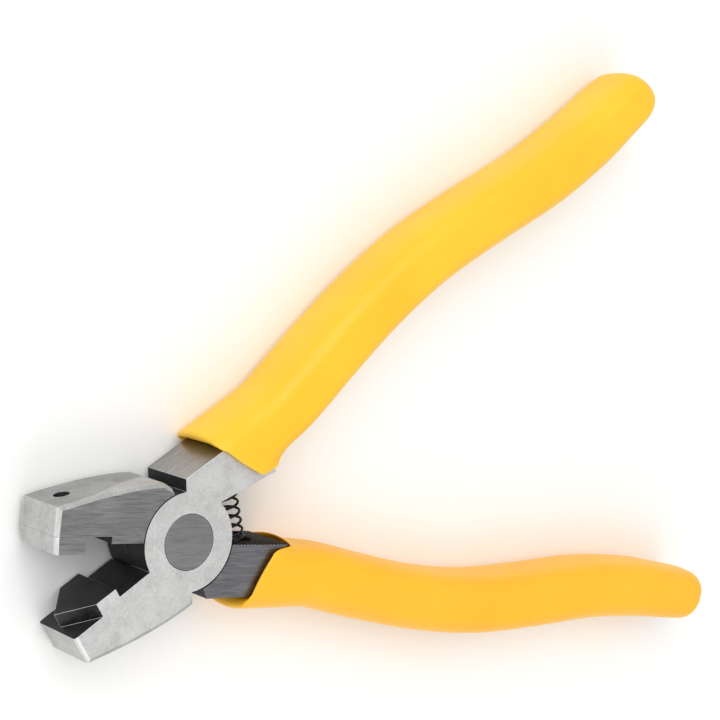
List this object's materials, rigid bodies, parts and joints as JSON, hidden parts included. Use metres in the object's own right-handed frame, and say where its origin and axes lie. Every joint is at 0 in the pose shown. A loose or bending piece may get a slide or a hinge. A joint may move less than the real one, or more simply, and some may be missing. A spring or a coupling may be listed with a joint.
{
  "type": "tile nippers",
  "caption": "Sprung lap-joint hand nippers with a stepped V-block lower jaw, a grooved upper tooth and long curved slip-on grips, for breaking tile",
  "frame": {"origin": "centre of the pivot rivet's lower end face, on the pivot axis", "axes": "+Z along the pivot axis towards the front lever's boss; +X along the middle line between the open handles, away from the jaws; +Y towards the upper jaw and the front lever's handle"},
  "size_m": [0.1905, 0.1504, 0.0189],
  "materials": {
    "rear_lever": "ground and brushed along the jaw, darker than its twin",
    "front_lever": "fine matt ground, light grey",
    "pivot_rivet": "brushed flush with the boss",
    "return_spring": "blackened spring wire",
    "tooth_insert": "ground hardened steel",
    "insert_screw": "black oxide",
    "rear_grip": "soft satin moulded vinyl",
    "front_grip": "soft satin moulded vinyl"
  },
  "bodies": {
    "rear_half": {"rear_lever": "rear_lever", "tooth_insert": "tooth_insert", "insert_screw": "insert_screw", "rear_grip": "rear_grip", "pivot_rivet": "pivot_rivet", "return_spring": "return_spring"},
    "front_half": {"front_lever": "front_lever", "front_grip": "front_grip"}
  },
  "joints": [
    {"name": "pivot", "type": "hinge", "parent": "rear_half", "child": "front_half", "pos_m": [0, 0, 0], "axis": [0, 0, -1], "range_deg": [-13, 32.5], "stiffness_Nm_per_rad": 0.35, "deforming": ["return_spring"]}
  ]
}
